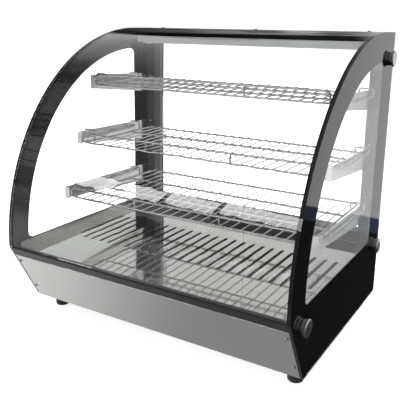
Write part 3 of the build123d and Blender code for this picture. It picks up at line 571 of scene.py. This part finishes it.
def screw_into(bm, p, d, r, h, shank_r, shank_l, turn):
    """pan head with a real cross recess, in metres"""
    x, y, z = axes(d)
    c, s = math.cos(turn), math.sin(turn)
    x, y = x * c + y * s, y * c - x * s
    N, R = 48, 14

    def dome(k):
        return h * (1 - 0.55 * k ** 2.6) if k < 0.995 else h * 0.42

    rings = []
    for i in range(R + 1):
        k = i / R
        ring = []
        for j in range(N):
            a = 2 * math.pi * j / N
            u, v = k * r * math.cos(a), k * r * math.sin(a)
            hh = dome(k)
            arm = 0.62 * r
            w = 0.15 * r
            m = min(abs(u), abs(v))
            l = max(abs(u), abs(v))
            if l < arm and m < w * 1.25:
                fade = min(1.0, (arm - l) / (0.2 * r)) * min(1.0, (w * 1.25 - m) / (w * 0.45))
                hh -= 0.62 * h * fade
            ring.append(bm.verts.new(p + x * u + y * v + z * hh))
            if i == 0:
                break
        rings.append(ring)
    for j in range(N):
        bm.faces.new((rings[0][0], rings[1][j], rings[1][(j + 1) % N]))
    for a_, b_ in zip(rings[1:], rings[2:]):
        for j in range(N):
            bm.faces.new((a_[j], b_[j], b_[(j + 1) % N], a_[(j + 1) % N]))

    def ring_at(rad, zz):
        return [bm.verts.new(p + x * rad * math.cos(2 * math.pi * j / N) + y * rad * math.sin(2 * math.pi * j / N) + z * zz) for j in range(N)]

    prev = rings[-1]
    for rad, zz in ((r, 0.12 * h), (r * 0.97, 0.0), (shank_r, 0.0), (shank_r, -shank_l)):
        q = ring_at(rad, zz)
        for j in range(N):
            bm.faces.new((prev[j], q[j], q[(j + 1) % N], prev[(j + 1) % N]))
        prev = q
    bm.faces.new(prev)


SL0, SL1 = (-549.0, 165.0), (-479.0, 38.0)
SLEN = math.hypot(SL1[0] - SL0[0], SL1[1] - SL0[1])
SDY, SDZ = (SL1[0] - SL0[0]) / SLEN, (SL1[1] - SL0[1]) / SLEN
NY, NZ = SDZ, -SDY


def on_slant(y, z):
    t = (y - SL0[0]) * SDY + (z - SL0[1]) * SDZ
    return (SL0[0] + SDY * t, SL0[1] + SDZ * t)


def screws(name, node, items, r=3.6, h=2.2, sr=1.8, sl=6.0):
    bm = bmesh.new()
    rnd = random.Random(len(items) * 13 + 5)
    for p, d in items:
        screw_into(bm, P(*p), d, r / 1000, h / 1000, sr / 1000, sl / 1000, rnd.uniform(0, math.pi / 2))
    o = new_object(name, bm, M["screw"])
    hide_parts(node)
    return o


fp = []
for s in (-1, 1):
    for y, z in ((-539.5, 148.0), (-495.8, 68.6)):
        q = on_slant(y, z)
        fp.append(((s * 338.0, q[0], q[1]), (0, NY, NZ)))
screws("front_panel_cross_screws", "front_panel_screws", fp, sr=1.7, sl=8.0)
small = [((s * 322.0, y, 170.0), (0, 0, 1)) for s in (-1, 1) for y in (-500.0, -290.0, -90.0)]
small += [((s * 333.6, -24.0, 225.0), (s, 0, 0)) for s in (-1, 1)]
small += [((s * 318.5, -43.0, z), (0, -1, 0)) for s in (-1, 1) for z in (548.0, 420.0, 290.0)]
small += [((x, -45.1, 656.0), (0, -1, 0)) for x in (-200.0, 200.0)]
small += [((s * 297.0, -14.0, z), (0, 1, 0)) for s in (-1, 1) for z in (52.0, 158.0)]
screws("pan_head_cross_screws", "pan_head_screws", small)
screws("top_panel_cross_screws", "top_panel_screws", [((x, -20.0, 683.3), (0, 0, 1)) for x in (-290.0, 0.0, 295.0)], 4.6, 2.7, 1.9, 9.0)

# ------------------------------------------------------ turned fixing caps


def cap_material():
    m = Mat("turned_cap")
    m.set(Metallic=1.0)
    sep = m.nt.nodes.new("ShaderNodeSeparateXYZ")
    m.link(m.tc.outputs["Object"], sep.inputs[0])
    r = m.math("SQRT", m.math("ADD", m.math("POWER", sep.outputs[0], 2.0), m.math("POWER", sep.outputs[1], 2.0)))
    comb = m.nt.nodes.new("ShaderNodeCombineXYZ")
    m.link(r, comb.inputs[0])
    m.link(sep.outputs[2], comb.inputs[1])
    ring = m.noise(2600.0, 2.0, 0.6, comb.outputs[0])
    big = m.noise(70.0, 3.0, 0.5)
    f = m.math("ADD", m.math("MULTIPLY", ring, 0.6), m.math("MULTIPLY", big, 0.4))
    m.color(m.mix(m.ramp(f, 0.3, 0.7, 0, 1), (0.50, 0.485, 0.47), (0.66, 0.645, 0.63)))
    m.rough(m.ramp(f, 0.3, 0.7, 0.22, 0.36))
    m.bump(ring, 0.5, 0.00003)
    return m.mat


M["cap"] = cap_material()


def lathe_into(bm, prof, n=72):
    rows = []
    for r, z in prof:
        if r < 1e-9:
            rows.append([bm.verts.new((0, 0, z))])
        else:
            rows.append([bm.verts.new((r * math.cos(2 * math.pi * j / n), r * math.sin(2 * math.pi * j / n), z)) for j in range(n)])
    for a, b in zip(rows, rows[1:]):
        for j in range(n):
            k = (j + 1) % n
            if len(a) == 1 and len(b) == 1:
                continue
            if len(a) == 1:
                bm.faces.new((a[0], b[j], b[k]))
            elif len(b) == 1:
                bm.faces.new((a[j], b[0], a[k]))
            else:
                bm.faces.new((a[j], b[j], b[k], a[k]))


def sharpen(o, angle=math.radians(32)):
    """keep edges sharper than the angle as hard edges"""
    me = o.data
    bm = bmesh.new()
    bm.from_mesh(me)
    for e in bm.edges:
        if len(e.link_faces) == 2 and e.calc_face_angle(0) > angle:
            e.smooth = False
    bm.to_mesh(me)
    bm.free()


FIX = [("upper", -35.5, 624.0), ("lower", -36.0, 171.0), ("front", -498.0, 156.0)]
first = True
for s, side in ((1, "right"), (-1, "left")):
    for nm, y, z in FIX:
        bm = bmesh.new()
        prof = [(0.0, 6.2), (2.7, 6.2), (2.7, 0.0), (15.1, 0.0), (15.5, 0.4), (15.5, 5.7), (15.25, 6.0), (15.25, 6.4), (17.2, 6.4), (17.75, 6.75),
                (18.0, 7.3), (18.0, 9.7), (17.8, 10.2), (17.1, 10.75), (16.6, 11.0), (9.0, 11.0), (0.0, 11.0)]
        lathe_into(bm, [(a / 1000, b / 1000) for a, b in prof])
        me = bpy.data.meshes.new("cap")
        bmesh.ops.recalc_face_normals(bm, faces=bm.faces)
        bm.to_mesh(me)
        bm.free()
        me.materials.append(M["cap"])
        for p in me.polygons:
            p.use_smooth = True
        o = bpy.data.objects.new("fixing_cap_%s_%s" % (side, nm), me)
        bpy.context.scene.collection.objects.link(o)
        o.matrix_world = Matrix.Translation(P(352.0 * s, y, z)) @ Matrix.Rotation(math.radians(90 * s), 4, "Y")
        sharpen(o)
        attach(o, "cabinet")
        if first:
            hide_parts("glass_fixing_caps")
            first = False

# --------------------------------------------- dial, scales and switch marks


def slab_into(bm, loop, place, depth):
    a = [bm.verts.new(place(u, v)) for u, v in loop]
    b = [bm.verts.new(place(u, v) + depth) for u, v in loop]
    bm.faces.new(a)
    bm.faces.new(b[::-1])
    n = len(loop)
    for i in range(n):
        bm.faces.new((a[i], a[(i + 1) % n], b[(i + 1) % n], b[i]))


def digits_into(bm, body, size, cu, cv, place, depth):
    """plain digits, centred on (cu, cv), as thin solid figures"""
    cu_ = bpy.data.curves.new("digits", "FONT")
    cu_.body = body
    cu_.size = size
    cu_.align_x = "CENTER"
    cu_.align_y = "CENTER"
    cu_.resolution_u = 3
    ob = bpy.data.objects.new("digits", cu_)
    bpy.context.scene.collection.objects.link(ob)
    bpy.context.view_layer.update()
    me = bpy.data.meshes.new_from_object(ob)
    tmp = bmesh.new()
    tmp.from_mesh(me)
    bpy.data.objects.remove(ob)
    bpy.data.curves.remove(cu_)
    bmesh.ops.remove_doubles(tmp, verts=tmp.verts, dist=size * 1e-4)
    for v in tmp.verts:
        v.co = place(cu + v.co.x, cv + v.co.y)
    ret = bmesh.ops.extrude_face_region(tmp, geom=list(tmp.faces))
    for v in ret["geom"]:
        if isinstance(v, bmesh.types.BMVert):
            v.co += depth
    tmp.to_mesh(me)
    tmp.free()
    bm.from_mesh(me)
    bpy.data.meshes.remove(me)


def tick(bm, ang, r0, r1, w, place, depth):
    """bar along a radius; ang is clockwise from the top, seen from behind the case"""
    du, dv = math.sin(ang), math.cos(ang)
    nu, nv = dv * w / 2, -du * w / 2
    slab_into(bm, [(du * r0 + nu, dv * r0 + nv), (du * r1 + nu, dv * r1 + nv), (du * r1 - nu, dv * r1 - nv), (du * r0 - nu, dv * r0 - nv)], place, depth)


def rear_scales():
    DX, DZ = 185.0, 105.0
    n = 96
    outer = [(25.2 * math.cos(2 * math.pi * i / n), 25.2 * math.sin(2 * math.pi * i / n)) for i in range(n)]
    inner = [(1.1 * math.cos(2 * math.pi * i / 24), 1.1 * math.sin(2 * math.pi * i / 24)) for i in range(24)]
    bm = prism_from_polygon([outer, inner], lambda u, v: P(DX - u, -12.38, DZ + v), Vector((0, 0.00012, 0)))
    new_object("thermometer_dial", bm, M["dial"], smooth=False)
    bm = bmesh.new()

    def on_dial(u, v):
        return P(DX - u, -12.258, DZ + v)

    d = Vector((0, 0.00006, 0))
    for i in range(31):
        a = math.radians(225.0 + 9.0 * i)
        if i % 5 == 0:
            tick(bm, a, 20.2, 23.8, 0.7, on_dial, d)
            digits_into(bm, str(20 * (i // 5)), 4.0, 16.6 * math.sin(a), 16.6 * math.cos(a), on_dial, d)
        else:
            tick(bm, a, 22.0, 23.8, 0.35, on_dial, d)
    new_object("thermometer_scale", bm, M["ink"], smooth=False)

    bm = bmesh.new()
    KX = 90.0

    def on_panel(u, v):
        return P(KX - u, -13.99, DZ + v)

    d = Vector((0, 0.00006, 0))
    for i in range(11):
        a = math.radians(30.0 * i)
        tick(bm, a, 23.4, 26.6 if i % 2 == 0 else 25.4, 0.9 if i % 2 == 0 else 0.6, on_panel, d)
        if i % 2 == 0:
            digits_into(bm, str(0 if i == 0 else 30 + 15 * (i // 2 - 1)), 5.4, 30.8 * math.sin(a), 30.8 * math.cos(a), on_panel, d)
    new_object("thermostat_scale", bm, M["ink"], smooth=False)

    bm = bmesh.new()
    for x in (-60.0, -20.0):
        def by_switch(u, v, x=x):
            return P(x - u, -13.99, DZ + v)

        slab_into(bm, [(-0.45, 15.2), (0.45, 15.2), (0.45, 19.6), (-0.45, 19.6)], by_switch, d)
        for k in range(28):
            a, b = 2 * math.pi * k / 28, 2 * math.pi * (k + 1) / 28
            slab_into(bm, [(2.3 * math.cos(a), -17.4 + 2.3 * math.sin(a)), (2.3 * math.cos(b), -17.4 + 2.3 * math.sin(b)),
                           (1.5 * math.cos(b), -17.4 + 1.5 * math.sin(b)), (1.5 * math.cos(a), -17.4 + 1.5 * math.sin(a))], by_switch, d)
    new_object("switch_marks", bm, M["ink"], smooth=False)


rear_scales()

# ------------------------------------------------------------------ floor, world


def floor():
    me = bpy.data.meshes.new("floor")
    L = 9.0
    me.from_pydata([(-L, -L, 0), (L, -L, 0), (L, L, 0), (-L, L, 0)], [], [(0, 1, 2, 3)])
    o = bpy.data.objects.new("floor", me)
    bpy.context.scene.collection.objects.link(o)
    m = Mat("pale_floor")
    n = m.noise(6.0, 3.0, 0.5)
    m.color(m.mix(n, (0.90, 0.90, 0.90), (0.93, 0.93, 0.93)))
    m.set(Roughness=0.9)
    m.bs.inputs["Specular IOR Level"].default_value = 0.1
    # lit from under as a light table is: a little to the eye, more when seen through glass
    lp = m.nt.nodes.new("ShaderNodeLightPath")
    bounce = m.math("MINIMUM", m.math("ADD", lp.outputs["Glossy Depth"], lp.outputs["Diffuse Depth"]), 1.0)
    through = m.math("MINIMUM", lp.outputs["Transmission Depth"], 1.0)
    glow = m.math("ADD", 0.66, m.math("MULTIPLY", through, 1.0))
    m.link(m.math("MULTIPLY", glow, m.math("SUBTRACT", 1.0, bounce)), m.bs.inputs["Emission Strength"])
    m.bs.inputs["Emission Color"].default_value = (1, 1, 1, 1)
    me.materials.append(m.mat)
    o.visible_glossy = False


floor()


def world():
    w = bpy.data.worlds.new("studio")
    bpy.context.scene.world = w
    w.use_nodes = True
    nt = w.node_tree
    nt.nodes.clear()
    out = nt.nodes.new("ShaderNodeOutputWorld")
    bg = nt.nodes.new("ShaderNodeBackground")
    nt.links.new(bg.outputs[0], out.inputs[0])
    tc = nt.nodes.new("ShaderNodeTexCoord")
    sep = nt.nodes.new("ShaderNodeSeparateXYZ")
    nt.links.new(tc.outputs["Generated"], sep.inputs[0])

    def rng(src, a, b, lo, hi):
        m = nt.nodes.new("ShaderNodeMapRange")
        m.interpolation_type = "SMOOTHSTEP"
        m.inputs["From Min"].default_value = a
        m.inputs["From Max"].default_value = b
        m.inputs["To Min"].default_value = lo
        m.inputs["To Max"].default_value = hi
        nt.links.new(src, m.inputs["Value"])
        return m.outputs["Result"]

    def op(kind, a, b):
        m = nt.nodes.new("ShaderNodeMath")
        m.operation = kind
        for i, v in enumerate((a, b)):
            if isinstance(v, (int, float)):
                m.inputs[i].default_value = v
            else:
                nt.links.new(v, m.inputs[i])
        return m.outputs[0]

    def lerp(f, a, b):
        return op("ADD", op("MULTIPLY", a, op("SUBTRACT", 1.0, f)), op("MULTIPLY", b, f))

    X, Y, Z = sep.outputs
    lp = nt.nodes.new("ShaderNodeLightPath")
    through = op("MINIMUM", lp.outputs["Transmission Depth"], 1.0)
    outer = op("SUBTRACT", 1.0, through)
    # behind the case: a light backdrop, a little brighter to the right, dimmer high up
    rear = rng(Y, 0.0, 0.14, 0.0, 1.0)
    side = rng(X, -0.2, 0.35, 0.0, 1.0)
    rear_level = op("MULTIPLY", lerp(side, 0.80, 0.90), rng(Z, 0.35, 0.75, 1.0, 0.5))
    # a darker band, low over the horizon, on the left
    band = op("MULTIPLY", op("MULTIPLY", rng(Z, -0.03, -0.012, 0.0, 1.0), rng(Z, 0.04, 0.075, 1.0, 0.0)), op("MULTIPLY", outer, rng(X, 0.10, 0.24, 1.0, 0.0)))
    patch = nt.nodes.new("ShaderNodeTexNoise")
    patch.inputs["Scale"].default_value = 9.0
    patch.inputs["Detail"].default_value = 1.0
    nt.links.new(tc.outputs["Generated"], patch.inputs["Vector"])
    dim = rng(patch.outputs["Fac"], 0.35, 0.65, 0.10, 0.42)
    rear_level = op("MULTIPLY", rear_level, lerp(band, 1.0, dim))
    # higher up on the left: a dark, uneven zone that the top strip mirrors
    patchy = nt.nodes.new("ShaderNodeTexNoise")
    patchy.inputs["Scale"].default_value = 14.0
    patchy.inputs["Detail"].default_value = 1.0
    nt.links.new(tc.outputs["Generated"], patchy.inputs["Vector"])
    zone = op("MULTIPLY", rng(X, -0.65, -0.35, 0.03, 0.40), rng(patchy.outputs["Fac"], 0.35, 0.65, 0.45, 1.5))
    strip_zone = op("MULTIPLY", op("MULTIPLY", rng(Y, 0.66, 0.70, 0.0, 1.0), rng(X, -0.30, -0.24, 1.0, 0.0)), op("MULTIPLY", rng(Z, 0.03, 0.08, 0.0, 1.0), rng(Z, 0.50, 0.54, 1.0, 0.0)))
    strip_level = op("MULTIPLY", zone, rng(Z, 0.33, 0.37, 1.0, 0.06))
    rear_level = lerp(op("MULTIPLY", strip_zone, outer), rear_level, strip_level)
    # to the left: unlit
    left = op("MULTIPLY", rng(X, -0.72, -0.5, 1.0, 0.0), op("MULTIPLY", rng(Y, -0.62, -0.42, 0.0, 1.0), rng(Y, 0.12, 0.4, 1.0, 0.0)))
    front_level = rng(Z, -0.1, 0.9, 0.24, 0.40)
    upper = lerp(rear, front_level, rear_level)
    upper = lerp(left, upper, 0.06)
    # below the horizon: dark, lighter to the left
    bands = rng(X, -0.75, -0.45, 1.0, 0.35)
    low = op("MULTIPLY", bands, rng(X, -0.25, 0.05, 1.0, 0.06))
    cut = op("SUBTRACT", Z, op("MULTIPLY", op("SUBTRACT", X, 0.225), 0.1))
    below = rng(cut, -0.299, -0.294, 1.0, 0.0)
    navy = op("MULTIPLY", op("MULTIPLY", below, rng(cut, -0.320, -0.316, 0.0, 1.0)), rng(X, 0.0, 0.15, 0.0, 1.0))
    level = lerp(navy, lerp(below, upper, low), 0.13)
    # what the camera sees straight or only through glass is the plain white backdrop
    bounce = op("MINIMUM", op("ADD", lp.outputs["Glossy Depth"], lp.outputs["Diffuse Depth"]), 1.0)
    level = lerp(bounce, op("ADD", 1.12, op("MULTIPLY", through, 0.95)), level)
    nt.links.new(level, bg.inputs["Strength"])
    tint = nt.nodes.new("ShaderNodeMix")
    tint.data_type = "RGBA"
    nt.links.new(op("MULTIPLY", navy, bounce), tint.inputs[0])
    tint.inputs[6].default_value = (1.0, 1.0, 1.0, 1)
    tint.inputs[7].default_value = (0.62, 0.85, 1.35, 1)
    nt.links.new(tint.outputs[2], bg.inputs["Color"])


world()


def softbox(name, az_deg, el_deg, dist, w, h, level, target=(0, 0, 0.35)):
    a, e = math.radians(az_deg), math.radians(el_deg)
    d = Vector((math.sin(a) * math.cos(e), -math.cos(a) * math.cos(e), math.sin(e)))
    li = bpy.data.lights.new(name, "AREA")
    li.shape = "RECTANGLE"
    li.size = w
    li.size_y = h
    li.energy = level * math.pi * w * h
    o = bpy.data.objects.new(name, li)
    bpy.context.scene.collection.objects.link(o)
    o.location = Vector(target) + d * dist
    o.rotation_euler = (-d).to_track_quat("-Z", "Y").to_euler()
    return o


for i, (a0, a1, e0) in enumerate(((-44.0, -38.2, 16.0), (-36.6, -32.2, 16.4), (-31.3, -25.3, 17.0), (-24.3, -13.0, 18.3))):
    w = 4.0 * math.radians(a1 - a0)
    softbox("side_light_%d" % i, (a0 + a1) / 2, e0, 4.0, w, 4.0 * math.radians(5.8), 5.6)
softbox("side_light_low", -31.5, 8.8, 4.0, 4.0 * math.radians(13.0), 4.0 * math.radians(6.5), 0.5)


def ceiling():
    """broad even light from above that only lights the floor and the matt parts"""
    li = bpy.data.lights.new("ceiling_light", "AREA")
    li.shape = "RECTANGLE"
    li.size = 9.0
    li.size_y = 9.0
    li.energy = 1.0 * math.pi * 81.0
    o = bpy.data.objects.new("ceiling_light", li)
    bpy.context.scene.collection.objects.link(o)
    o.location = (0.0, 1.5, 4.2)
    o.visible_glossy = False
    o.visible_transmission = False
    o.visible_camera = False


ceiling()


def front_fill():
    """soft front light for the matt parts behind the glass"""
    li = bpy.data.lights.new("front_fill", "AREA")
    li.shape = "RECTANGLE"
    li.size = 3.0
    li.size_y = 2.0
    li.energy = 8.0 * math.pi * 6.0
    o = bpy.data.objects.new("front_fill", li)
    bpy.context.scene.collection.objects.link(o)
    o.location = (0.3, -3.4, 0.42)
    o.rotation_euler = (Vector((0.0, 0.2, 0.5)) - o.location).to_track_quat("-Z", "Y").to_euler()
    o.visible_glossy = False
    o.visible_transmission = False
    o.visible_camera = False


front_fill()
